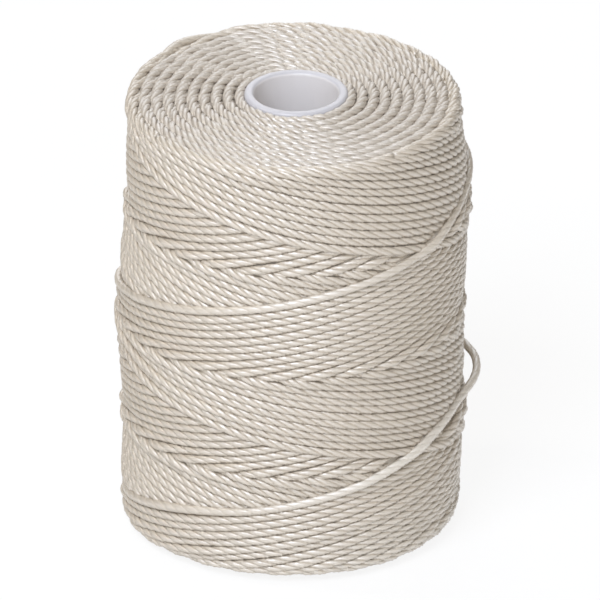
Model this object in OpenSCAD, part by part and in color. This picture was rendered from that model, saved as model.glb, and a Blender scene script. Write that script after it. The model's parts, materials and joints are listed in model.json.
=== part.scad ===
// Waxed thread spool: a small plastic tube carrying a cross-wound package of waxed cord.
// The package has no flanges. Its outer layer runs up and down the package in long zigzags,
// two turns to a traverse, and the cord rounds the shoulders where it turns back.
// Millimetres, +Z up, origin on the tube's axis in the plane that the spool stands on.
// Angles about the axis start at the front, -Y, and grow towards +X.

/* [Cord] */
// Diameter of the cord
cord_d = 1; // [0.8:0.05:1.2]
// Clear gap between cords where one crosses over another
turn_gap = 0.5; // [0.48:0.01:0.6]

/* [Package] */
// Outside diameter of the wound package at mid height
package_d = 39; // [34:0.5:48]
// Height of the wound package
package_h = 52; // [44:1:64]
// How much smaller in radius the package is at its ends than at mid height
side_swell = 0.5; // [0:0.1:1.2]
// Rounding of the package's two shoulders
shoulder_r = 3; // [2.5:0.1:4]

/* [Core tube] */
// Bore of the tube
bore_d = 9.5; // [7:0.1:12]
// Wall thickness of the tube
tube_wall = 1.1; // [0.9:0.05:1.6]
// Rounding of the tube's lips
lip_r = 0.4; // [0.2:0.05:0.4]
// Length of tube that stands out of the package at each end
tube_stand_out = 0.2; // [0.1:0.05:1]

/* [Outer winding] */
// Traverses up the package and back in the outer winding
strokes = 6; // [4:1:6]
// Turns in one traverse, less the small share that shifts each stroke beside the last
turns_per_traverse = 2; // [1:1:2]
// Height from the package's end to the point where a cord turns back
turn_back_inset = 1.3; // [1.1:0.1:2]
// Angle over which a cord rounds its turn at a shoulder
turn_back_angle = 22; // [18:1:24]
// Angle about the axis at which the last pass leaves the bottom shoulder
last_pass_angle = -136; // [-180:1:180]
// Height that the slack in the last turn stands off the package
slack_height = 1.5; // [0:0.1:2.5]
// Angle about the axis of the middle of the slack stretch
slack_angle = 95; // [60:5:120]
// Angle over which the slack stretch lifts and settles
slack_spread = 30; // [20:2:40]

/* [End faces] */
// Clear gap between neighbouring turns on the end faces
face_gap = 0.46; // [0.45:0.01:0.6]

/* [Hidden] */

// Rings along one loop of cord and sides of its section
rings_per_turn = 20;
cord_sides = 6;
// Smoothness of the turned pieces
turned_fn = 96;
// Slip between pieces that lie on each other
seat_gap = 0.05;

tube_r = bore_d / 2 + tube_wall;
tube_length = package_h + 2 * tube_stand_out;
cord_r = cord_d / 2;
ring_angle = 360 / rings_per_turn;

// The outer winding lies on two levels: passes that run up cross over those that run down.
level_step = cord_d + turn_gap;
// A faceted loop cuts inside its circle by this share of its radius
facet_share = 1 - cos(ring_angle / 2);

// Centre line of the upper level: radius at mid height, shoulder rounding and half height
upper_r = package_d / 2 - cord_r;
upper_shoulder = shoulder_r - cord_r;
half_h = package_h / 2;
mid_z = tube_length / 2;
upper_half_h = half_h - cord_r;

// Angle of one traverse and of the whole outer winding
traverse_angle = 360 * (turns_per_traverse - 0.5 / strokes);
winding_angle = 2 * strokes * traverse_angle;
winding_rings = round(winding_angle / ring_angle);
// Height from mid package at which the centre line turns back
turn_back_h = half_h - turn_back_inset;

// The plain core's surface lies below the lower level by its cord and the facets' loss
core_depth = cord_d + level_step + seat_gap + facet_share * upper_r;
core_r = package_d / 2 - core_depth;
core_shoulder = 1;
core_half_h = half_h - cord_d - seat_gap;

// Turns on the end faces, one to each buried layer
layer_pitch = cord_d + face_gap;
face_first_r = tube_r + cord_r + seat_gap + facet_share * (tube_r + cord_d);
face_last_r = upper_r - level_step / 2 - level_step - cord_r;
face_turns = floor((face_last_r - face_first_r) / layer_pitch * rings_per_turn) / rings_per_turn;

ivory = [0.86, 0.82, 0.74];
deep_ivory = [0.80, 0.76, 0.68];
tube_white = [0.86, 0.86, 0.90];

// Point at an angle about the axis, a radius and a height
function polar(angle, r, z) = [r * sin(angle), -r * cos(angle), z];

// Level wave between -1 and 1 whose peaks are rounded over the given share of a slope
function rounded_wave(phase, share) =
    let (
        p = phase - floor(phase),
        tri = p < 0.5 ? 4 * p - 1 : 3 - 4 * p,
        edge = 1 - 2 * share,
        over = max(0, abs(tri) - edge),
        eased = abs(tri) - over * over / (8 * share)
    )
    sign(tri) * eased;

// Radius of the upper centre line at a height from mid package
function package_r(h) =
    let (over = max(0, abs(h) - (upper_half_h - upper_shoulder)))
    upper_r - side_swell * pow(h / upper_half_h, 2)
    - upper_shoulder + sqrt(max(0, pow(upper_shoulder, 2) - over * over));

// Outward normal of that outline, as [radial, axial]
function package_normal(h) =
    let (
        step = 0.05,
        slope = (package_r(h + step) - package_r(h - step)) / (2 * step),
        size = sqrt(1 + slope * slope)
    )
    [1 / size, -slope / size];

// Smooth step from 0 to 1
function ease(x) = let (c = max(0, min(1, x))) c * c * (3 - 2 * c);

// Share of the way down to the lower level: 0 on an upward pass and 1 on a downward one.
// The first and last passes keep to their own level up to the cord's ends.
function sunk(travel) =
    let (
        stroke = 2 * traverse_angle,
        into = travel - stroke * floor(travel / stroke),
        from_top = into < stroke / 2 ? into : into - stroke,
        from_bottom = into - stroke / 2
    )
    travel < turn_back_angle ? 1
    : travel > winding_angle - turn_back_angle ? 0
    : abs(from_top) < turn_back_angle ? ease(0.5 + from_top / (2 * turn_back_angle))
    : ease(0.5 - from_bottom / (2 * turn_back_angle));

// Lift of the slack stretch, on the first turn of the last upward pass
function slack_lift(travel) =
    let (
        angle = travel - (winding_angle - traverse_angle) + last_pass_angle,
        off = (angle - slack_angle) / slack_spread
    )
    abs(off) < 1 ? slack_height * pow(cos(90 * off), 2) : 0;

// Centre line of the outer winding: it starts and ends at the top shoulder
function winding_point(travel) =
    let (
        share = turn_back_angle / traverse_angle,
        wave = rounded_wave(0.5 + travel / (2 * traverse_angle), share),
        h = wave * turn_back_h,
        normal = package_normal(h),
        lift = slack_lift(travel) - level_step * sunk(travel),
        angle = last_pass_angle + travel - (winding_angle - traverse_angle)
    )
    polar(angle, package_r(h) + lift * normal[0], mid_z + h + lift * normal[1]);

winding_points = [for (i = [0:winding_rings]) winding_point(i * ring_angle)];

// Flat spiral of turns on an end face, from the tube outwards
function face_points(z) =
    [for (i = [0:round(face_turns * rings_per_turn)])
        polar(i * ring_angle, face_first_r + layer_pitch * i / rings_per_turn, z)];

top_face_points = face_points(mid_z + half_h - cord_r);
bottom_face_points = face_points(mid_z - half_h + cord_r);

// The same points with a straight run of one diameter added square to each end
function with_straight_ends(points) =
    let (
        last = len(points) - 1,
        start = (points[0] - points[1]) / norm(points[0] - points[1]),
        end = (points[last] - points[last - 1]) / norm(points[last] - points[last - 1])
    )
    concat([points[0] + cord_d * start], points, [points[last] + cord_d * end]);

// Least gap between stretches of one tube, measured on points along its straight runs
samples = 8;
function along(a, b) = [for (k = [0:samples - 1]) a + (b - a) * k / samples];
function run_distance(a, b, c, d) =
    min([for (p = along(a, b)) min([for (q = along(c, d)) norm(p - q)])]);
function least_gap(points, apart) =
    let (near = 3 * cord_d, last = len(points) - 2)
    min([for (i = [0:last - apart]) for (j = [i + apart:last])
        if (abs(points[i][2] - points[j][2]) < near)
            if (norm(points[i] - points[j]) < 3 * near)
                run_distance(points[i], points[i + 1], points[j], points[j + 1])]) - cord_d;

// Section of the tube at one point, with a flat side facing along the given outward vector
function ring_at(point, tangent, outward) =
    let (
        side = cross(tangent, outward) / norm(cross(tangent, outward)),
        up = cross(side, tangent)
    )
    [for (k = [0:cord_sides - 1])
        let (a = 360 * (k + 0.5) / cord_sides)
        point + cord_r * (cos(a) * up + sin(a) * side)];

// One unbroken tube along the points
module cord_tube(points, outwards) {
    last = len(points) - 1;
    rings = [for (i = [0:last])
        let (ahead = points[min(last, i + 1)] - points[max(0, i - 1)])
        ring_at(points[i], ahead / norm(ahead), outwards[i])];
    skin = [for (ring = rings) each ring];
    walls = [for (i = [0:last - 1]) for (k = [0:cord_sides - 1])
        let (
            a = i * cord_sides + k,
            b = i * cord_sides + (k + 1) % cord_sides,
            c = b + cord_sides,
            d = a + cord_sides
        )
        each [[a, b, c], [a, c, d]]];
    first_cap = [for (k = [1:cord_sides - 2]) [0, k + 1, k]];
    base = last * cord_sides;
    last_cap = [for (k = [1:cord_sides - 2]) [base, base + k, base + k + 1]];
    polyhedron(points = skin, faces = concat(walls, first_cap, last_cap), convexity = 20);
}

// Moulded tube with rounded lips
module core_tube() {
    color(tube_white)
    rotate_extrude($fn = turned_fn)
    polygon([
        for (a = [180:15:270]) [bore_d / 2 + lip_r + lip_r * cos(a), lip_r + lip_r * sin(a)],
        for (a = [270:15:360]) [tube_r - lip_r + lip_r * cos(a), lip_r + lip_r * sin(a)],
        for (a = [0:15:90]) [tube_r - lip_r + lip_r * cos(a), tube_length - lip_r + lip_r * sin(a)],
        for (a = [90:15:180]) [bore_d / 2 + lip_r + lip_r * cos(a), tube_length - lip_r + lip_r * sin(a)]
    ]);
}

// Plain core of buried layers, barrelled like the package and seated on the tube
function core_outline(h) =
    core_r - side_swell * pow(h / core_half_h, 2)
    - core_shoulder + sqrt(max(0, pow(core_shoulder, 2)
    - pow(max(0, abs(h) - core_half_h + core_shoulder), 2)));

module inner_windings() {
    steps = 24;
    straight_h = core_half_h - core_shoulder;
    color(deep_ivory)
    rotate_extrude($fn = turned_fn)
    polygon([
        [tube_r + seat_gap, mid_z - core_half_h],
        for (a = [-90:15:-15]) let (h = -straight_h + core_shoulder * sin(a)) [core_outline(h), mid_z + h],
        for (i = [0:steps]) let (h = -straight_h + 2 * straight_h * i / steps) [core_outline(h), mid_z + h],
        for (a = [15:15:90]) let (h = straight_h + core_shoulder * sin(a)) [core_outline(h), mid_z + h],
        [tube_r + seat_gap, mid_z + core_half_h]
    ]);
}

// Outer layer of cord, one unbroken run up and down the package
module outer_winding() {
    points = with_straight_ends(winding_points);
    color(ivory)
    cord_tube(points, [for (p = points) [p[0], p[1], 0]]);
}

// Turns of the buried layers that show on the top face
module top_end_turns() {
    points = with_straight_ends(top_face_points);
    color(ivory)
    cord_tube(points, [for (p = points) [0, 0, 1]]);
}

// Turns of the buried layers that show on the bottom face
module bottom_end_turns() {
    points = with_straight_ends(bottom_face_points);
    color(ivory)
    cord_tube(points, [for (p = points) [0, 0, 1]]);
}

echo(outer_winding_turns = winding_angle / 360, least_gap = least_gap(winding_points, 3));
echo(face_turns = face_turns, least_gap = least_gap(top_face_points, 10));

core_tube();
inner_windings();
outer_winding();
top_end_turns();
bottom_end_turns();
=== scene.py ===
# %% [markdown]
# # A waxed thread spool
# A leatherworker's spool is a plain plastic tube with no flanges. The cord runs up and down it
# in long zigzags, and each new zigzag lies beside the last one, so the package holds itself
# together. This lesson lays the cord turn by turn, as the winding machine does, and then gives
# every turn its three twisted plies.
#
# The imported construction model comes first, as a frame that is never moved. All sizes below
# are in millimetres; Blender gets metres.

import json
import math

import bmesh
import bpy
import numpy as np
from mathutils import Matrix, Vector

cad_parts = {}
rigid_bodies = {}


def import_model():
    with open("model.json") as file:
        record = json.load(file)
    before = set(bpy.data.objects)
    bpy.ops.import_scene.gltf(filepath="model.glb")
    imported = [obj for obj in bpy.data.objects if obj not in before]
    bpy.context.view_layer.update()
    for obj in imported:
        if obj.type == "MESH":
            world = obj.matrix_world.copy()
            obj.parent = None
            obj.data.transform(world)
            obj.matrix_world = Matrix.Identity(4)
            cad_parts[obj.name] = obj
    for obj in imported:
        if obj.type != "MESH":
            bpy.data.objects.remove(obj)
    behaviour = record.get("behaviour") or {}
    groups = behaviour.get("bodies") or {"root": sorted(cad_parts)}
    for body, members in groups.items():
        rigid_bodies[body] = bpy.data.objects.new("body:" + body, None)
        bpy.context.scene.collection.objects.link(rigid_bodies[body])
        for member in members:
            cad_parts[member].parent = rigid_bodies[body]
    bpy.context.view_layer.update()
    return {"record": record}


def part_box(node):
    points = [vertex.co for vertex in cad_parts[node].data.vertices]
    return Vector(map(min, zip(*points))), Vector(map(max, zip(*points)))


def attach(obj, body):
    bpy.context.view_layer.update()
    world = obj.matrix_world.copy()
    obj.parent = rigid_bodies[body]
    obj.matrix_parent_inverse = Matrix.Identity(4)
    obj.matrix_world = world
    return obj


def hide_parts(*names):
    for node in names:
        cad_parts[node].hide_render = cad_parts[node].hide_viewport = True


for leftover in list(bpy.data.objects):
    bpy.data.objects.remove(leftover)
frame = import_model()
MM = 0.001

# %% [markdown]
# The sizes that the pieces share are read from the frame: the tube from its node's box and the
# bore from the spindle mount, the package's radius from the depth of the wound layer, and its
# height from the two end faces.

# %% Read the sizes
tube_low, tube_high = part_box("core_tube")
wound_low, wound_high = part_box("outer_winding")
bore = next(m for m in frame["record"]["mounts"] if m["name"] == "spindle_bore")

tube_r = (tube_high.x - tube_low.x) / 2 / MM
bore_r = bore["dims"]["r_mm"]
tube_length = (tube_high.z - tube_low.z) / MM
mid_z = (tube_high.z + tube_low.z) / 2 / MM
package_r = (wound_high.y - wound_low.y) / 2 / MM
half_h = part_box("top_end_turns")[1].z / MM - mid_z
print(f"tube {2 * tube_r:.1f} x {tube_length:.1f}, bore {2 * bore_r:.1f}, "
      f"package {2 * package_r:.1f} x {2 * half_h:.1f}")

# %% [markdown]
# ## How the package is wound
# Nothing in a wound package changes abruptly. A bevel would round the corners of a finished
# shape, but here the numbers that the shapes are made of have to be smooth. Four helpers see to
# that: one rounds the corners in a row of values, one makes a slow random drift, one adds smooth
# humps at chosen places, and one rises steadily from 0 to 1.

# %% Helpers for smooth changes
rng = np.random.default_rng(7)


def smoothed(values, spread):
    """The values with a bell-shaped average over the given number of samples."""
    reach = int(3 * spread)
    bell = np.exp(-0.5 * (np.arange(-reach, reach + 1) / spread) ** 2)
    return np.convolve(np.pad(values, reach, "edge"), bell / bell.sum(), "valid")


def wander(count, spread, size):
    """A slow random drift with the given spread, in samples, and usual size."""
    drift = smoothed(rng.normal(size=count), spread)
    return size * drift / drift.std()


def humps(along, stations):
    """Sum of smooth humps, each given by its middle, its half-length and its size."""
    total = np.zeros(len(along))
    for middle, reach, size in stations:
        off = np.clip(np.abs(along - middle) / reach, 0, 1)
        total += size * np.cos(off * math.pi / 2) ** 2
    return total


def ramp(values, start, reach):
    """0 up to the start, then rising to 1 within the reach."""
    return np.clip((values - start) / reach, 0, 1)


# %% [markdown]
# The package turns while a guide carries the cord from one end to the other and back. In one
# traverse the package makes a little less than two turns. The missing share is what shifts
# each zigzag beside the one before it: after 27 zigzags the shifts add up to a full turn and a
# layer is closed. A traverse could be drawn as a plain helix, but then every turn would be
# perfectly even. Here the guide's turn-back points, and the cord between them, stray a little.
#
# The path is kept as one long list of samples, one for each degree that the package turned:
# the unrolled angle about the axis, from the front and growing towards +X, and the height
# above the middle.

# %% Lay out the traverses
cord_w = 0.98            # width of a cord pressed against its neighbours
layer_strokes = 27       # zigzags that close one layer
bed_strokes = 41         # zigzags laid first, as a bed for the layer that shows
traverse = 360 * (2 - 0.5 / layer_strokes)
last_turn_back = 224     # unrolled angle of the newest turn-back, at the top
tail = 20                # the cord's end is tucked this many degrees past it
turn_ease = 11           # spread, in degrees, over which a turn-back is rounded
ease_loss = 0.8          # rounding lowers a turn-back by this share of the ease
foot = 0.35              # how much sooner the cord turns back at the bottom
turn_back_stray = 0.05
guide_spread = 40        # degrees over which the guide's drift is smoothed
guide_stray = 0.018
guide_lag = [(9, 24, 0.7)]  # it runs low in the upper half of its stroke: height, reach, size

strokes = bed_strokes + layer_strokes
travel_end = 2 * strokes * traverse
travel = np.arange(0, travel_end + tail)
angle = last_turn_back + travel - travel_end
rise = (2 * half_h - cord_w) / traverse
turn_back_h = half_h - cord_w / 2 + ease_loss * turn_ease * rise

turn_backs = turn_back_h - np.abs(rng.normal(0, turn_back_stray, 2 * strokes + 2))
turn_backs[1::2] = foot - turn_backs[1::2]
height = np.interp(travel, traverse * np.arange(2 * strokes + 2), turn_backs)
height = smoothed(height + wander(len(travel), guide_spread, guide_stray), turn_ease)
height -= humps(height, guide_lag)
print(f"{travel_end / 360:.0f} turns, rising {rise * 360:.1f} a turn")

# %% [markdown]
# The newest traverse isn't pulled tight. In three places it strays upwards from its
# neighbour, and in three it stands clear of the package. It could be pinned by hand at a few
# points of a curve, but then it would no longer follow the guide. Both kinds of slack are
# smooth humps along the unrolled angle, in degrees.

# %% Slack in the newest traverse
slack_lifts = [(-262, 28, 1.80), (-92, 30, 0.45), (101, 26, 0.60)]
slack_strays = [(-300, 52, 1.00), (-402, 30, 0.30), (70, 30, 0.15)]

newest = travel > travel_end - traverse
height += np.where(newest, humps(angle, slack_strays), 0)
slack = np.where(newest, humps(angle, slack_lifts), 0)
print(f"slack stands off by {slack.max():.2f}")

# %% [markdown]
# ## Laying the cord
# Where one cord crosses another it has to climb over it, and a taut cord runs straight from
# one high spot to the next. A cloth or rigid-body simulation of so much cord would take hours.
# The same result comes from a map of the package's surface, with a height for each degree
# round it and each 0.08 mm up it. A cord on the map has a round back, and a belly that rests on
# what is below. Its flanks don't rest, so a neighbour beside it bears nothing.
#
# Real cords are squashed where they cross. Here the map takes a cord to be thinner than it is
# made later, and no section changes at a crossing. So the meshes of two cords that cross
# overlap, mostly by a little under half a cord's thickness, and only the upper one shows there.

# %% Map of the package's surface
map_step = 0.08
map_margin = 1.5         # the map goes this far past the package's ends
back = 0.27              # how far a cord's back rises above its centre on the map
belly_rows = 4           # rows of the map on each side of its middle that rest
map_rows = 2 * int((half_h + map_margin) / map_step) + 1
row_h = (np.arange(map_rows) - map_rows // 2) * map_step
arc = math.radians(package_r)    # length of one degree round the package
lean = math.atan(rise / arc)     # slope of the turns

half_rows = int(cord_w / 2 / map_step)
across = np.arange(-half_rows, half_rows + 1)
cord_back = back * np.sqrt(1 - (across * map_step * math.cos(lean) * 2 / cord_w) ** 2)
belly = np.abs(across) <= belly_rows


def column_of(at_angle):
    """Columns of the map at the given angles."""
    return np.round(at_angle).astype(int) % 360


def row_of(at_height):
    """Rows of the map at the given heights."""
    return np.round(at_height / map_step).astype(int) + map_rows // 2


print(f"a map of 360 x {map_rows} places, the turns slope {math.degrees(lean):.1f} degrees")

# %% [markdown]
# A turn is laid on the map in three steps: the ground under the cord is read off, a taut line
# is drawn over it, and the cord's own round back is added to the map for the turns that follow.
#
# A taut line round a cylinder is the upper hull of the ground, once the curve of the cylinder
# itself has been taken off. One hull for the whole path would be quicker, but the cord crosses
# itself, so each turn is on the map before the next one's ground is read. Its line is drawn a
# little further than it is laid, so that it runs on into the next turn.

# %% Draw taut lines and lay turns
look_ahead = 60          # degrees of the next turn that a line is drawn over as well


def taut(ground):
    """Upper hull of the ground over the curve of the package, a sample per degree."""
    along = (np.arange(len(ground)) - len(ground) / 2) * arc
    curve = along ** 2 / (2 * package_r)
    level = ground - curve
    held = []
    for i in range(len(level)):
        while len(held) > 1:
            a, b = held[-2:]
            if (level[b] - level[a]) * (i - a) > (level[i] - level[a]) * (b - a):
                break
            held.pop()
        held.append(i)
    return np.interp(along, along[held], level[held]) + curve


def lay(surface, first, last):
    """Lays samples first to last on the map, a turn at a time. Returns their lift."""
    lift = np.zeros(last - first)
    carried = None
    for start in range(first, last, 360):
        stop = min(start + 360, last)
        ahead = slice(start, min(stop + look_ahead, last))
        column = column_of(angle[ahead])
        rows = row_of(height[ahead])[:, None] + across
        ground = (surface[column[:, None], rows[:, belly]] + cord_back[belly]).max(1)
        if carried is not None:
            ground[0] = max(ground[0], carried)
        line = taut(ground)
        count = stop - start
        carried = line[count] if len(line) > count else None
        lift[start - first:stop - first] = line[:count]
        cell = (column[:count, None], rows[:count])
        surface[cell] = np.maximum(surface[cell], line[:count, None] + cord_back)
    return lift


# %% [markdown]
# The bed is laid first, on a bare cylinder. Real turns sink into the ones below, so the bed's
# unevenness is pressed down to a part of what rigid cords would leave. Then comes the layer
# that shows.

# %% Lay the bed and the outer layer
bed_sink = 0.45
bed_lowest = -1.0
level_spread = 3         # spread, up the package, with which its mean level is smoothed
level_margin = 1.5       # that level is held from this far short of the ends

inner_rows = np.abs(row_h) < half_h - level_margin
surface = np.zeros((360, map_rows))
first_outer = int(2 * bed_strokes * traverse)
lay(surface, 0, first_outer)


def mean_level(levels):
    """Average level at each height, smoothed up the package and held at its ends."""
    profile = np.interp(row_h, row_h[inner_rows], levels.mean(0)[inner_rows])
    return smoothed(profile, level_spread / map_step)


bed = surface - mean_level(surface)
bed = np.maximum(bed_sink * bed, bed_lowest)
surface = bed.copy()
outer_lift = lay(surface, first_outer, len(travel))
outer_level = mean_level(surface)
print(f"the outer layer adds {outer_level.mean():.2f} to the radius, "
      f"and its turns stray {np.std(surface[:, inner_rows]):.2f} from it")

# %% [markdown]
# Rigid cords would stack up into ridges two millimetres high where many of them cross. Real
# ones bed in, so the broad unevenness is taken down to a part of itself, for the cords and for
# the bed alike. What is left puts the package's outline a little in and out. The outline
# itself is a slight barrel, and at each end its last three millimetres lean inwards.
#
# A turned profile would be true all round, and a wound package isn't. It sits a little to one
# side of its tube, its rows stray sideways, and its two edges are fuller in places. Those
# differences are smooth humps as well.

# %% The package's radius at any place
broad_up = 0.6           # unevenness is broad from this spread on, up the package
broad_round = 2.5        # and this one round it, in degrees
relief_kept = 0.27       # the part of it that is left,
foot_pressed = 0.7       # and what the foot loses of that
foot_press_at = (17, 4)  # how far below the middle this begins, and how far on it is complete
side_swell = 0.80
top_lean, foot_lean = 0.25, 0.65
lean_at = (-3.4, 3)      # where the ends begin to lean, from the end, and its reach
set_off = -0.25          # the whole package sits this far to the left on its tube
side_lean = 0.20         # the top layers sit this far to the right, the bottom ones to the left
lean_bend = 0.055        # how fast that comes about, in radians for each millimetre of height
row_shifts = [(-2, 11, -0.32), (14, 8, 0.22)]  # and its rows stray: height, reach, size
edge_humps = [(200, 46, 0.75), (95, 48, -0.15)]  # the top edge: angle, reach in degrees, size
edge_humps_at = (19, 5)
foot_humps = [(285, 55, 0.45)]  # and the bottom edge
foot_humps_at = (16, 5)
crests = 0.10            # how far the cords' crests stand above their mean level

broad = surface - outer_level
broad = np.apply_along_axis(smoothed, 1, broad, broad_up / map_step)
broad = np.apply_along_axis(smoothed, 0, np.tile(broad, (3, 1)), broad_round)[360:720]
kept = relief_kept * (1 - foot_pressed * ramp(-row_h, *foot_press_at))

outline = (package_r - crests - side_swell * (row_h / half_h) ** 2
           - np.where(row_h > 0, top_lean, foot_lean)
           * ramp(np.abs(row_h) - half_h, *lean_at) ** 2)
round_angle = np.arange(360)
sideways = set_off + side_lean * np.sin(row_h * lean_bend) + humps(row_h, row_shifts)
uneven = (np.outer(np.sin(np.radians(round_angle)), sideways)
          + np.outer(humps(round_angle, edge_humps), ramp(row_h, *edge_humps_at))
          + np.outer(humps(round_angle, foot_humps), ramp(-row_h, *foot_humps_at)))
to_radius = outline + uneven - outer_level - (1 - kept) * broad


def package_radius(at_angle, at_height, lift):
    """Radius of a point that lies at the given lift on the map."""
    row = np.clip(row_of(at_height), 0, map_rows - 1)
    return to_radius[column_of(at_angle), row] + lift


print(f"outline {outline.max():.2f} at the middle, "
      f"relief kept within {relief_kept * broad.std():.2f}")

# %% [markdown]
# ## The twisted cord
# The cord is three plies twisted together, right-handed, a full turn in 4.8 mm. It could be a
# round tube with stripes painted on it, but then its outline and its shadows would be smooth.
# Here the tube's section has three lobes, and the section turns as it goes along, so every ply
# stands out. The section has fifteen corners: a groove, two flanks and two crowns for each ply.
#
# A cord in the package is pressed. Its section is fuller than a round one, and its plies show
# less. So the section's form and the plies' depth change along the cord, as its width and
# thickness do. Each corner also keeps what the material needs: its place in the untwisted
# cord, for the fibres, how near it is to a groove, a slow change of tone, and how much painted
# light it gets.

# %% Section of the cord
lay_length = 4.8         # length of a full twist
ring_step = 0.51         # distance of the rings along the cord
ply_corners = [-60, -46, -17, 17, 46]
ply_radii = [0.64, 0.89, 1.0, 1.0, 0.89]
corner_angle = np.radians([ply * 120 + a for ply in range(3) for a in ply_corners])
corner_radius = np.array(ply_radii * 3)
# The crown mark also sets the painted shade in the grooves and the painted highlight on the
# crowns.
corner_crown = np.array([0.0, 0.7, 1.0, 1.0, 0.7] * 3)
corners = len(corner_angle)

twist_waves = [(31, 0.5), (11.3, 0.3)]  # the twist isn't quite even: reach of a wave, size
girth_waves = [(7.7, 0.022), (2.9, 0.018)]  # nor is the cord's thickness
tone_drift = (53, 17.1, 0.3)  # its tone drifts in two waves at once: their reaches, size
tone_waves = [(5.3, 0.2)]


def waves(level, at, parts):
    """The level with waves added along the cord."""
    for reach, size in parts:
        level = level + size * np.sin(at / reach)
    return level


print(f"a section of {corners} corners, {lay_length / ring_step:.1f} rings in a full twist")

# %% [markdown]
# One length of cord is made from a list of points, the direction that is outwards at each of
# them, and the section's form there. It could be cut into rings at those points, but they are
# closer together than the twist needs. So rings are set at even steps along the path, and all
# that changes along it is read off at each ring.

# %% One length of cord
def along_path(values, places, at):
    """Each column of values, read at new places along the path."""
    return np.stack([np.interp(at, places, column) for column in values.T], 1)


def twisted_length(points, outward, section, start):
    """Corners of one length of cord and their marks, ring by ring. The section is the cord's
    half width, half thickness, form, ply depth and painted light at each point."""
    steps = np.linalg.norm(np.diff(points, axis=0), axis=1)
    places = start + np.concatenate([[0], np.cumsum(steps)])
    rings = max(3, int((places[-1] - places[0]) / ring_step) + 1)
    at = np.linspace(places[0], places[-1], rings)
    centre = along_path(points, places, at)
    outward = along_path(outward, places, at)
    half_w, half_t, form, depth, pale = along_path(section, places, at).T[:, :, None]

    ahead = np.gradient(centre, axis=0)
    ahead /= np.linalg.norm(ahead, axis=1)[:, None]
    outward -= (outward * ahead).sum(1)[:, None] * ahead
    outward /= np.linalg.norm(outward, axis=1)[:, None]
    side = np.cross(ahead, outward)

    twist = waves(2 * math.pi * at / lay_length, at, twist_waves)
    turned = twist[:, None] + corner_angle
    girth = (1 - depth * (1 - corner_radius)) * waves(1, at, girth_waves)[:, None]
    full = (np.abs(np.sin(turned)) ** form + np.abs(np.cos(turned)) ** form) ** (-1 / form)
    beside = half_w * girth * full * np.sin(turned)
    above = half_t * girth * full * np.cos(turned)
    skin = (centre[:, None] + beside[..., None] * side[:, None]
            + above[..., None] * outward[:, None])

    along = np.broadcast_to(at[:, None], turned.shape)
    slow, quick, size = tone_drift
    tone = waves(0.5 + size * np.sin(at / slow) * np.sin(at / quick), at, tone_waves)
    marks = {
        "fibre_place": np.stack(
            [girth * np.sin(corner_angle), girth * np.cos(corner_angle), along], -1),
        "crown": np.broadcast_to(corner_crown, turned.shape),
        "tone": np.broadcast_to(tone[:, None], turned.shape),
        # The last mark is how much painted light the corner gets.
        "pale": np.broadcast_to(pale, turned.shape)}
    return skin, marks


# %% [markdown]
# A cord piece is one or more such lengths in one mesh. A curve object with a bevel would be
# shorter to write, but a bevel has the same section all along and can't carry marks. So the
# rings are joined into faces here, each length is closed at both ends, and the marks are
# stored on the corners under names that the finish looks up. The corners follow the plies, so
# the edges along the grooves can be marked as sharp, which keeps the grooves crisp with few
# faces.

# %% Many lengths as one piece
def placed(name, data):
    """A new object in the scene, with the given mesh, light or camera."""
    thing = bpy.data.objects.new(name, data)
    bpy.context.scene.collection.objects.link(thing)
    return thing


def smooth_mesh(name, points, faces):
    """A mesh in metres from points in millimetres, shaded smooth."""
    mesh = bpy.data.meshes.new(name)
    mesh.from_pydata(points * MM, [], faces)
    mesh.shade_smooth()
    print(name, sum(len(f) - 2 for f in faces), "triangles")
    return mesh


def cord_piece(name, lengths):
    """One mesh of twisted lengths of cord, each closed at both ends."""
    skins, faces, marks = [], [], {}
    base = 0
    for length in lengths:
        skin, skin_marks = twisted_length(*length)
        rings = len(skin)
        ring, corner = np.meshgrid(np.arange(rings - 1), np.arange(corners), indexing="ij")
        here = base + ring * corners + corner
        beside = base + ring * corners + (corner + 1) % corners
        quads = np.stack([here, beside, beside + corners, here + corners], -1)
        faces += quads.reshape(-1, 4).tolist()
        last = base + (rings - 1) * corners
        faces.append(list(range(base, base + corners))[::-1])
        faces.append(list(range(last, last + corners)))
        base += rings * corners
        skins.append(skin.reshape(-1, 3))
        for mark, values in skin_marks.items():
            marks.setdefault(mark, []).append(values.ravel())

    mesh = smooth_mesh(name, np.concatenate(skins), faces)
    for mark, values in marks.items():
        kind, field = ("FLOAT_VECTOR", "vector") if mark == "fibre_place" else ("FLOAT", "value")
        attribute = mesh.attributes.new(mark, kind, "POINT")
        attribute.data.foreach_set(field, np.concatenate(values).astype(np.float32))
    ends = np.zeros(2 * len(mesh.edges), int)
    mesh.edges.foreach_get("vertices", ends)
    near, far = ends.reshape(-1, 2).T
    in_groove = (np.abs(far - near) == corners) & (near % len(ply_corners) == 0)
    mesh.attributes.new("sharp_edge", "BOOLEAN", "EDGE").data.foreach_set("value", in_groove)
    return placed(name, mesh)


# %% [markdown]
# ## The outer winding
# The layer that shows is one cord, nearly thirteen metres long. Its points could be set on a
# plain cylinder, but then neither cord would lie on top at a crossing. Each point of the path
# gets its radius from the map instead, with the slack added, and the cord's end is tucked under.

# %% Path of the outer winding
lift_ease = 1.2          # degrees over which the taut line's corners are rounded
tuck_depth = 1.3


def on_package(at_angle, radius, at_height):
    """Points and their outward directions, from angles, radii and heights."""
    turn = np.radians(at_angle)
    outward = np.stack([np.sin(turn), -np.cos(turn), np.zeros(len(turn))], 1)
    points = outward * radius[:, None]
    points[:, 2] = mid_z + at_height
    return points, outward


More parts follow.
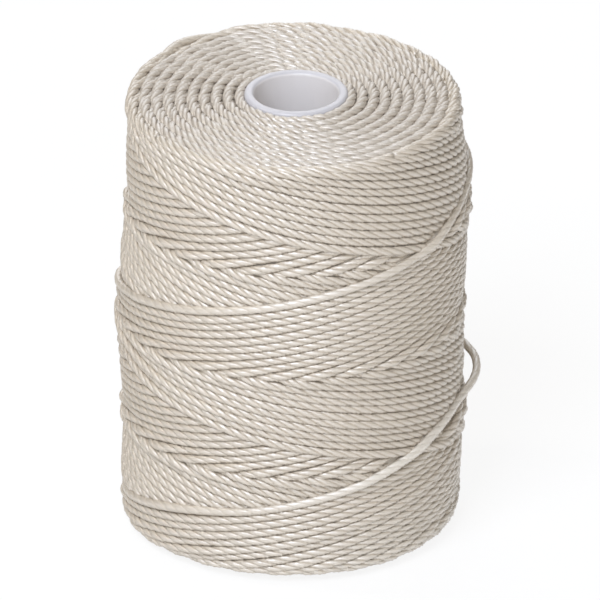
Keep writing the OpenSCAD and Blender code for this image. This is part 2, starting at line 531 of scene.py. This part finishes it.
outer = slice(first_outer, len(travel))
outer_angle, outer_height, outer_slack = angle[outer], height[outer], slack[outer]
outer_lift = smoothed(outer_lift, lift_ease)
tuck = tuck_depth * ramp(travel[outer], travel_end, tail)
outer_radius = package_radius(outer_angle, outer_height, outer_lift) + outer_slack - tuck
outer_points, outer_outward = on_package(outer_angle, outer_radius, outer_height)
outer_place = np.concatenate(
    [[0], np.cumsum(np.linalg.norm(np.diff(outer_points, axis=0), axis=1))])
print(f"cord in the outer winding {outer_place[-1] / 1000:.2f} m, "
      f"radius {outer_radius.min():.2f} to {outer_radius.max():.2f}")

# %% [markdown]
# Where the zigzags lie closer together the cords are squeezed, so the width of each follows
# its mean distance from its two neighbours. Near the ends, and wherever the cord is slack, it
# is rounder and its plies show more. One section all along would be simpler, but it would leave
# gaps in some places and make neighbours overlap far more in others.

# %% Section along the outer winding
pressed_half = 0.49      # half thickness in the package; the half width follows the neighbours
loose_half = 0.49        # half width and half thickness where the cord is slack
pressed_form = 3.0       # 2 is a round section, and more is fuller at its four shoulders
loose_form = 2
pressed_depth = 0.82     # share of the plies' full depth that is left round the package
newest_depth = 0.36      # the same for the newest traverse
depth_ease = 8           # degrees over which one changes into the other
full_depth_at = (-8, 6)  # where the plies deepen, from the package's end, and its reach
loose_from = 0.8         # slack at which a cord is quite loose
narrowest, widest = 0.90, 1.15
squeeze = 0.535          # a half width is a little over half the distance, so that cords press
width_ease = 3
# The paleness below is painted light: on the newest traverse, where it stands clear and catches
# the light, and on the foot, from the floor, most on one side.
newest_painted_light = 0.15       # how pale the newest traverse is
newest_painted_light_humps = [(-310, 80, 0.6)]    # and where it is paler still: angle, reach, size
foot_painted_light = 0.2          # how pale the foot is half way round its palest side
foot_painted_light_at = (17, 6)   # how far below the middle this begins, and its reach
foot_painted_light_side = 10      # the palest side is this many degrees short of the right

beside_me = 4 * 360      # samples from a place to its neighbour on the next zigzag
pitch = np.abs(height[beside_me:] - height[:-beside_me]) * math.cos(lean)
pitch = np.clip(np.pad(pitch, (beside_me, beside_me), "edge"), narrowest, widest)
half_width = squeeze * (pitch[beside_me:] + pitch[:-beside_me])[outer] / 2
half_width = smoothed(half_width, width_ease)
looseness = ramp(outer_slack, 0, loose_from)
near_end = ramp(np.abs(outer_height) - half_h, *full_depth_at)
ply_depth = pressed_depth + (1 - pressed_depth) * near_end
ply_depth = smoothed(np.where(newest[outer], newest_depth, ply_depth), depth_ease)
# Painted light: how much paler each place is painted, on the newest traverse and on the foot.
painted_light_share = np.where(newest[outer], newest_painted_light + humps(outer_angle, newest_painted_light_humps),
                    foot_painted_light * ramp(-outer_height, *foot_painted_light_at)
                    * (1 + np.sin(np.radians(outer_angle + foot_painted_light_side))))
section = np.stack([half_width + (loose_half - half_width) * looseness,
                    pressed_half + (loose_half - pressed_half) * looseness,
                    pressed_form + (loose_form - pressed_form) * looseness,
                    ply_depth, painted_light_share], 1)
print(f"half width {half_width.min():.2f} to {half_width.max():.2f}")

# %% [markdown]
# One mesh of the whole layer would be very heavy, so it is cut at turn-backs, where newer turns
# hide the joins: four pieces of about seven zigzags, and the newest traverse by itself.

# %% Make the outer winding
cut_strokes = (0, 7, 14, 21, layer_strokes - 0.5)

outer_pieces = []
cuts = [int(2 * traverse * stroke) for stroke in cut_strokes]
for number, (first, last) in enumerate(zip(cuts, cuts[1:] + [len(outer_points) - 1]), 1):
    part = slice(first, last + 1)
    outer_pieces.append(cord_piece(
        f"outer_winding_{number}" if number < len(cuts) else "newest_traverse",
        [(outer_points[part], outer_outward[part], section[part], outer_place[first])]))

# %% [markdown]
# ## The end faces
# An end face shows where the cord of every buried layer turned back. The rings could be a flat
# spiral, but on the real package no turn goes all the way round: each one rises out of the
# package, runs along the end and dives again. So each buried layer repeats the outer layer's
# turn-backs on a smaller radius, a little further out of the end the nearer it is to the tube.
# Only the stretch near the end is made, because the rest is buried.

# %% Make the turns on the end faces
buried_layers = 9
arc_half = 32            # degrees of cord kept on each side of a turn-back
edge_section = (0.54, 0.57, 2.2, 1.0, 0.0)  # in the order that twisted_length takes
ripple_lost = 0.7        # how much of the shoulder's ripple is gone in the ring by the tube
tube_clearance = 0.45    # from the tube's wall to the middle of the innermost cord
first_ring_r = tube_r + tube_clearance
shoulder_r = np.mean([outer_radius[int(2 * k * traverse)] for k in range(1, layer_strokes)])
layer_pitch = (shoulder_r - first_ring_r) / buried_layers
stroke_shift = 360 / layer_strokes
layer_start, stroke_start = 97.3, 31.7   # arcs start apart on the cord, so none twist alike


def face_arc(layer, stroke, peak, tube_climb):
    """One turn-back of a buried layer: the points, directions, section and start of its cord.
    The peak is 0 at the top and 1 at the bottom, and the rings climb towards the tube."""
    like = max(stroke, 1)
    earlier = like - stroke
    middle = int((peak + 2 * like) * traverse)
    part = slice(middle - arc_half, middle + arc_half + 1)
    inwards = layer + earlier / layer_strokes
    ripple = (outer_radius[part] - shoulder_r) * (1 - ripple_lost * inwards / buried_layers)
    points, outward = on_package(
        outer_angle[part] + earlier * stroke_shift,
        shoulder_r - layer_pitch * inwards + ripple,
        outer_height[part] + tube_climb * (inwards / buried_layers) ** 2)
    return (points, outward, np.tile(edge_section, (len(points), 1)),
            layer_start * layer + stroke_start * stroke)


end_faces = [("top_face_turns", 0, 0.35), ("bottom_face_turns", 1, -0.10)]
face_pieces = []
for name, peak, tube_climb in end_faces:
    arcs = [face_arc(layer, stroke, peak, tube_climb)
            for layer in range(1, buried_layers + 1) for stroke in range(layer_strokes)]
    face_pieces.append(cord_piece(name, arcs))
print(f"{len(arcs)} arcs on each face, {layer_pitch:.2f} mm a ring")

# %% [markdown]
# ## The bed under the turns
# Between the turns one can look a little way into the package. What shows there is more cord,
# in shade. A bare cylinder would look like a painted roller, so the bed takes its side from the
# map, as it was before the outer layer was laid, and its two ends have a groove for each ring.
#
# Where two cords cross they leave a deeper slot, and there the older turns show. The finished
# map is closed over such slots, by taking the highest and then the lowest level within reach
# of each place, and the bed fills them up to a little below that.

# %% Level of the bed
bed_rise = 0.20          # how far it rises above the centres of the cords that rest on it
slot_depth = 0.42        # how deep one can look into a slot between crossing cords
slot_round, slot_up = 1, 6       # places of the map round and up within reach


def within_reach(levels, pick):
    """The highest or lowest level within reach of each place on the map."""
    moved = [np.roll(levels, (a, b), (0, 1)) for a in range(-slot_round, slot_round + 1)
             for b in range(-slot_up, slot_up + 1)]
    return pick(moved, axis=0)


slots_filled = within_reach(within_reach(surface, np.max), np.min) - slot_depth
bed_level = np.maximum(bed + back + bed_rise, slots_filled)
print(f"the bed is {(surface - bed_level).mean():.2f} below the cords' backs on average")

# %% [markdown]
# The bed is a closed, thick ring round the tube. A Screw modifier could turn one from a
# profile, but this one's side carries the map's relief, which isn't the same all round. So its
# rings are worked out one by one: over the bottom face, up the side and back over the top face.

# %% Make the bed
bed_columns = 220
side_rings = 300
face_rings = 46
face_depth = 1.15        # how far the bed's ends lie inside the package's
tube_gap = 0.02
side_gap = 0.4           # its ends stop this far inside its side
ridge_h = 0.12           # its ends ripple by this much up and down
ridge_inset = 0.5        # the outermost ridge lies this far inside the package's side


def bed_rings():
    """Radii and height of each ring of the bed."""
    side_h = np.linspace(-half_h + face_depth, half_h - face_depth, side_rings)
    column = np.arange(bed_columns) * 360 // bed_columns
    side_r = (to_radius + bed_level)[np.ix_(column, row_of(side_h))].T

    face_width = side_r[0].min() - side_gap - tube_r
    face_r = tube_r + tube_gap + face_width * np.linspace(0, 1, face_rings)
    ripple = ridge_h * np.cos(2 * math.pi * (package_r - ridge_inset - face_r) / layer_pitch)
    face_h = half_h - face_depth + ripple
    low = [(np.full(bed_columns, r), -h) for r, h in zip(face_r, face_h)]
    high = [(np.full(bed_columns, r), h) for r, h in zip(face_r[::-1], face_h[::-1])]
    return low + list(zip(side_r, side_h)) + high


def bed_piece(name):
    """The bed as one closed mesh."""
    rings = bed_rings()
    turn = 2 * math.pi * np.arange(bed_columns) / bed_columns
    skin = np.concatenate([
        np.stack([r * np.sin(turn), -r * np.cos(turn), np.full(bed_columns, mid_z + h)], 1)
        for r, h in rings])
    ring, place = np.meshgrid(np.arange(len(rings)), np.arange(bed_columns), indexing="ij")
    here = ring * bed_columns + place
    beside = ring * bed_columns + (place + 1) % bed_columns
    above = np.roll(np.arange(len(rings)), -1)
    faces = np.stack([here, beside, beside[above], here[above]], -1).reshape(-1, 4)
    return placed(name, smooth_mesh(name, skin, faces.tolist()))


winding_bed = bed_piece("winding_bed")

# %% [markdown]
# ## The tube
# The tube is a short length of moulded plastic with rounded lips. A curve with a bevel would
# make one too. Here it is modelled by hand: an open cylinder gets its wall from a Solidify
# modifier, and then the four sharp lip edges are selected by their place and bevelled.

# %% Model the tube
tube_sides = 128
lip_round = 0.42
lip_steps = 6
close = 0.01             # what is nearer than this counts as the same place
smooth_angle = 40

bpy.ops.object.select_all(action="DESELECT")
bpy.ops.mesh.primitive_cylinder_add(
    vertices=tube_sides, radius=tube_r * MM, depth=tube_length * MM, end_fill_type="NOTHING",
    location=(0, 0, mid_z * MM))
tube = bpy.context.object
tube.name = tube.data.name = "moulded_tube"
bpy.ops.object.transform_apply(location=True, rotation=False, scale=False)
wall = tube.modifiers.new("wall", "SOLIDIFY")
wall.thickness = (tube_r - bore_r) * MM
wall.offset = -1
wall.use_even_offset = True
bpy.ops.object.modifier_apply(modifier=wall.name)

bpy.ops.object.mode_set(mode="EDIT")
bpy.ops.mesh.select_mode(type="EDGE")
bpy.ops.mesh.select_all(action="DESELECT")
shape = bmesh.from_edit_mesh(tube.data)
for edge in shape.edges:
    level = [v.co.z / MM for v in edge.verts]
    reach = [v.co.xy.length / MM for v in edge.verts]
    at_lip = min(level) > tube_length - close or max(level) < close
    edge.select = at_lip and abs(reach[0] - reach[1]) < close
bmesh.update_edit_mesh(tube.data)
bpy.ops.mesh.bevel(offset=lip_round * MM, segments=lip_steps, affect="EDGES")
bpy.ops.object.mode_set(mode="OBJECT")
bpy.ops.object.shade_smooth_by_angle(angle=math.radians(smooth_angle))
print("moulded_tube", len(tube.data.polygons), "faces")

# %% [markdown]
# ## Finishes
# The finishes are built from shader nodes. Two small helpers keep them readable: a value that
# takes Python's arithmetic, and one method that adds any node with its settings and sockets.

# %% Helpers for the finishes
class Value:
    """A number, colour or shader that a node gives. Arithmetic on a number adds Math nodes."""

    def __init__(self, finish, socket):
        self.finish = finish
        self.socket = socket

    def maths(self, operation, *terms):
        return self.finish.node("ShaderNodeMath", {"operation": operation},
                                dict(enumerate(terms)))

    def __add__(self, other):
        return self.maths("ADD", self, other)

    def __sub__(self, other):
        return self.maths("SUBTRACT", self, other)

    def __rsub__(self, other):
        return self.maths("SUBTRACT", other, self)

    def __mul__(self, other):
        return self.maths("MULTIPLY", self, other)

    __radd__ = __add__
    __rmul__ = __mul__

    def or_more(self, other):
        return self.maths("MAXIMUM", self, other)

    def kept_within(self, low, high):
        return self.maths("MINIMUM", self, high).or_more(low)


class Finish:
    """A material, or the world, under construction."""

    def __init__(self, name, made_in=bpy.data.materials, shader="Principled BSDF"):
        self.made = made_in.new(name)
        self.made.use_nodes = True
        self.tree = self.made.node_tree
        self.shader = self.tree.nodes[shader]

    def feed(self, socket, value):
        """Links a value to a socket, or sets the socket to a plain number or colour."""
        if isinstance(value, Value):
            self.tree.links.new(value.socket, socket)
        else:
            socket.default_value = value

    def node(self, kind, settings=None, sockets=None, output=0):
        """Any node, with its settings first and then its sockets."""
        added = self.tree.nodes.new(kind)
        for setting, value in (settings or {}).items():
            setattr(added, setting, value)
        for place, value in (sockets or {}).items():
            self.feed(added.inputs[place], value)
        return Value(self, added.outputs[output])

    def mark(self, name, output="Fac"):
        return self.node("ShaderNodeAttribute", {"attribute_name": name}, output=output)

    def ray(self, kind):
        return self.node("ShaderNodeLightPath", output=kind)

    def stretched(self, vector, scale):
        return self.node("ShaderNodeVectorMath", {"operation": "MULTIPLY"},
                         {0: vector, 1: scale})

    def noise(self, vector, detail):
        return self.node("ShaderNodeTexNoise", sockets={
            "Vector": vector, "Scale": 1.0, "Detail": detail})

    def mixed(self, share, first, second):
        """A mix of two colours. A plain colour is linear red, green and blue."""
        colours = [c if isinstance(c, Value) else (*c, 1) for c in (first, second)]
        return self.node("ShaderNodeMix", {"data_type": "RGBA"},
                         {0: share, 6: colours[0], 7: colours[1]}, output=2)

    def bump(self, height, depth):
        return self.node("ShaderNodeBump", sockets={"Height": height, "Distance": depth})

    def wear(self, **sockets):
        """Feeds the sockets of the main shader. Returns the finished material or world."""
        for name, value in sockets.items():
            self.feed(self.shader.inputs[name.replace("_", " ")], value)
        return self.made


# %% [markdown]
# ## Waxed cord
# Waxed cord is many fine filaments in each ply, glued down by a thin coat of wax. Three things
# show close to. The filaments make faint streaks along each ply, the wax gathers in the grooves
# where it looks darker and less glossy, and the tone drifts a little along the cord's length.
# The darker grooves are partly wax and partly painted shade, and the crowns of the plies are
# painted lighter, as a painted highlight.
# The newest traverse is painted paler, as painted light and sheen where it stands clear of the
# package, and so is the package's foot, as painted light from the floor, most on one side.
# A wave texture could draw the twist, but the plies are real shapes already, so the finish only
# adds what is finer. The pattern follows the cord itself, by the marks stored on its corners.

# %% Finish of the cord
def cord_finish(name, ivory, groove_wax_and_shade):
    """Ivory waxed cord: painted highlight on the crowns of the plies, and wax and painted shade
    in their grooves.
    """
    finish = Finish(name)
    place = finish.mark("fibre_place", "Vector")
    crown = finish.mark("crown")
    tone = finish.mark("tone")
    pale = finish.mark("pale")

    # Both patterns are finer across the cord than along it.
    streaks = finish.noise(finish.stretched(place, (6.0, 6.0, 0.8)), 3.0)
    patches = finish.noise(finish.stretched(place, (0.6, 0.6, 0.16)), 2.0)

    # The crowns are painted lighter and the grooves darker: painted highlight and painted shade,
    # on top of the wax in the grooves.
    lightness = 0.55 * crown + 0.5 * streaks + 0.35 * patches + 0.2 * tone - 0.3
    colour = finish.mixed(lightness.kept_within(0, 1), groove_wax_and_shade, ivory)
    # Painted light: the pale places are mixed towards a near-white ivory.
    colour = finish.mixed(pale * 0.6, colour, (0.84, 0.79, 0.70))
    roughness = 0.52 - 0.10 * crown + 0.3 * (streaks - 0.5)
    return finish.wear(
        Base_Color=colour, Roughness=roughness.kept_within(0.3, 0.9),
        Normal=finish.bump(streaks, 0.05 * MM), IOR=1.7, Specular_IOR_Level=1.0,
        Coat_Weight=0.25 + 0.6 * crown, Coat_Roughness=0.33, Coat_IOR=2.0)


waxed_cord = cord_finish("waxed_cord", (0.616, 0.535, 0.434), (0.477, 0.399, 0.30))
buried_cord = cord_finish("buried_cord", (0.60, 0.530, 0.449), (0.461, 0.391, 0.307))
print("made", waxed_cord.name, "and", buried_cord.name)

# %% [markdown]
# The bed is the same cord, further in and out of the light. Its plies are too small to show
# there, so it needs no marks: noise that is flat and long like the turns is enough for its
# tone, and no gloss.

# %% Finish of the bed
def bed_finish(name):
    """Cord in deep shade, with the run of the turns in its tone."""
    finish = Finish(name)
    place = finish.node("ShaderNodeTexCoord", output="Object")
    turns = finish.noise(finish.stretched(place, (90.0, 90.0, 900.0)), 3.0)
    colour = finish.mixed(turns, (0.46, 0.405, 0.335), (0.58, 0.52, 0.44))
    return finish.wear(Base_Color=colour, Roughness=0.8 - 0.1 * turns,
                       Normal=finish.bump(turns, 0.1 * MM))


shaded_bed = bed_finish("shaded_bed")
print("made", shaded_bed.name)

# %% [markdown]
# ## Tube plastic
# The tube is white plastic with a lilac cast, thin enough to glow a little, and its bore is
# painted a shade lighter: painted light, for the light that comes through the wall there. A
# touch of light passes under its surface. Full glass-like transmission would show the cord
# behind it, which the real tube hides. Handling has left faint scuffs, which break up its satin
# gloss.

# %% Finish of the tube
# The bore's lighter plastic is painted light, for light through the wall; it begins this far into
# the wall, and this sharply.
bore_light_edge = 0.15         # the lighter plastic begins this far into the wall
bore_light_fade = 8            # and how sharply


def tube_finish(name):
    """Satin plastic, with painted light that makes the bore lighter."""
    finish = Finish(name)
    place = finish.node("ShaderNodeTexCoord", output="Object")
    cloud = finish.noise(finish.stretched(place, (180.0, 180.0, 90.0)), 2.0)
    scuffs = finish.noise(finish.stretched(place, (900.0, 900.0, 2600.0)), 4.0)
    outside = finish.mixed(cloud, (0.505, 0.49, 0.51), (0.56, 0.545, 0.565))
    from_axis = finish.node("ShaderNodeVectorMath", {"operation": "LENGTH"},
                            {0: finish.stretched(place, (1 / MM, 1 / MM, 0.0))}, output=1)
    # Painted light: the bore is painted lighter, for light that comes through the wall.
    inside = ((bore_r + bore_light_edge - from_axis) * bore_light_fade).kept_within(0, 1)
    colour = finish.mixed(inside, outside, (0.70, 0.67, 0.66))
    return finish.wear(
        Base_Color=colour, Roughness=(0.24 + 0.22 * scuffs).kept_within(0.2, 0.6),
        Normal=finish.bump(scuffs, 0.008 * MM), Subsurface_Weight=0.25,
        Subsurface_Radius=(1.0, 1.0, 1.0), Subsurface_Scale=1.2 * MM)


tube_plastic = tube_finish("tube_plastic")
print("made", tube_plastic.name)

# %% [markdown]
# ## Put the pieces on the frame
# Each piece rides on the one body, gets its material, and takes the place of its plain solid
# from the construction model.

# %% Dress the frame
def dress(piece, material, node):
    """Gives a piece its material and puts it in the place of a node."""
    piece.data.materials.clear()
    piece.data.materials.append(material)
    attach(piece, "root")
    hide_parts(node)


for piece in outer_pieces:
    dress(piece, waxed_cord, "outer_winding")
for piece, node in zip(face_pieces, ("top_end_turns", "bottom_end_turns")):
    dress(piece, buried_cord, node)
dress(winding_bed, shaded_bed, "inner_windings")
dress(tube, tube_plastic, "core_tube")

# %% [markdown]
# ## Floor, light and camera
# The spool stands on a pale floor in front of nothing. A floor that is only lit never comes
# out quite white, so to a camera ray it is mostly plain white, with a part of its shading,
# and the spool's soft shadow stays.

# %% Floor
floor_white = 0.86       # share of plain white in what the camera sees of the floor
floor_size = 6           # in metres, so that its edge is never seen
floor_gap = 0.2 * MM

bpy.ops.object.select_all(action="DESELECT")
bpy.ops.mesh.primitive_plane_add(size=floor_size, location=(0, 0, -floor_gap))
floor = bpy.context.object
floor.name = floor.data.name = "floor"

pale_floor = Finish("pale_floor")
pale_floor.wear(Base_Color=(0.95, 0.95, 0.95, 1), Roughness=0.9)
white = pale_floor.node("ShaderNodeEmission", sockets={"Color": (1, 1, 1, 1), "Strength": 1.0})
seen = pale_floor.ray("Is Camera Ray").or_more(pale_floor.ray("Is Glossy Ray"))
lit = Value(pale_floor, pale_floor.shader.outputs[0])
shown = pale_floor.node("ShaderNodeMixShader", sockets={0: seen * floor_white, 1: lit, 2: white})
pale_floor.feed(pale_floor.tree.nodes["Material Output"].inputs["Surface"], shown)
floor.data.materials.append(pale_floor.made)
print("made", floor.name)

# %% [markdown]
# The sky lights the spool evenly from all sides. A panorama of a real room could do that too,
# but it would bring its own colours. This sky is plain, and its light is warm and dim, but a
# camera ray sees it white.

# %% Sky
sky_light = 0.30
warm_white = (1, 0.95, 0.87)

sky = Finish("soft_sky", bpy.data.worlds, "Background")
to_camera = sky.ray("Is Camera Ray")
bpy.context.scene.world = sky.wear(
    Color=sky.mixed(to_camera, warm_white, (1, 1, 1)),
    Strength=sky.node("ShaderNodeMix", sockets={0: to_camera, 2: sky_light, 3: 1.0}))
print("made", bpy.context.scene.world.name)

# %% [markdown]
# The main light is a large soft panel to the left, in front and above, and a weaker one fills
# in from the front. Both are a little cool, so that what faces them looks whiter than the
# sides, where the warmer sky and two small panels are left to keep the cord from going dark.
# One from above and behind brightens the top face and the tube's lip, and a low one lights the
# back. A single sun lamp would leave hard shadows in every groove.

# %% Lights
aim = Vector((0.42 * MM, 0, mid_z * MM))
panel_distance = 0.9
key_white = (0.84, 0.895, 1.0)
fill_white = (0.87, 0.92, 1.0)
side_white = (1.0, 0.93, 0.82)
top_white = (0.84, 0.91, 1.0)
back_white = (0.96, 0.97, 1.0)


def face_spool(thing, azimuth, elevation, distance):
    """Puts a light or camera where it faces the spool. Azimuth 0 is in front, 90 to the right."""
    turn, tilt = math.radians(azimuth), math.radians(elevation)
    away = Vector((math.sin(turn) * math.cos(tilt), -math.cos(turn) * math.cos(tilt),
                   math.sin(tilt)))
    thing.location = aim + away * distance
    thing.rotation_euler = (-away).to_track_quat("-Z", "Y").to_euler()


def panel_light(name, azimuth, elevation, size, power, colour):
    """A square soft light."""
    data = bpy.data.lights.new(name, "AREA")
    data.size = size
    data.energy = power
    data.color = colour
    face_spool(placed(name, data), azimuth, elevation, panel_distance)


panel_light("key_panel", -25, 49, 0.42, 6.75, key_white)
panel_light("fill_panel", 13, 20, 0.45, 1.95, fill_white)
panel_light("left_panel", -100, 50, 0.12, 1.15, side_white)
panel_light("right_panel", 95, 30, 0.12, 0.30, side_white)
panel_light("top_panel", 190, 48, 0.50, 1.35, top_white)
panel_light("back_panel", 180, 20, 0.60, 1.7, back_white)
print(len(bpy.data.lights), "lights")

# %% [markdown]
# The camera stands well back with a long lens, so that the package's sides stay upright. An
# orthographic camera would do nearly the same, but a real lens keeps a trace of perspective.

# %% Camera
camera_elevation = 26.6
camera_lens = 1600
view_width = 67.6 * MM

camera_data = bpy.data.cameras.new("camera")
camera_data.lens = camera_lens
camera_data.clip_start, camera_data.clip_end = 0.05, 20
camera_distance = view_width * camera_lens / camera_data.sensor_width
camera = placed("camera", camera_data)
face_spool(camera, 0, camera_elevation, camera_distance)
bpy.context.scene.camera = camera
bpy.context.scene.view_settings.view_transform = "Standard"
print(f"camera {camera_distance:.2f} m away")
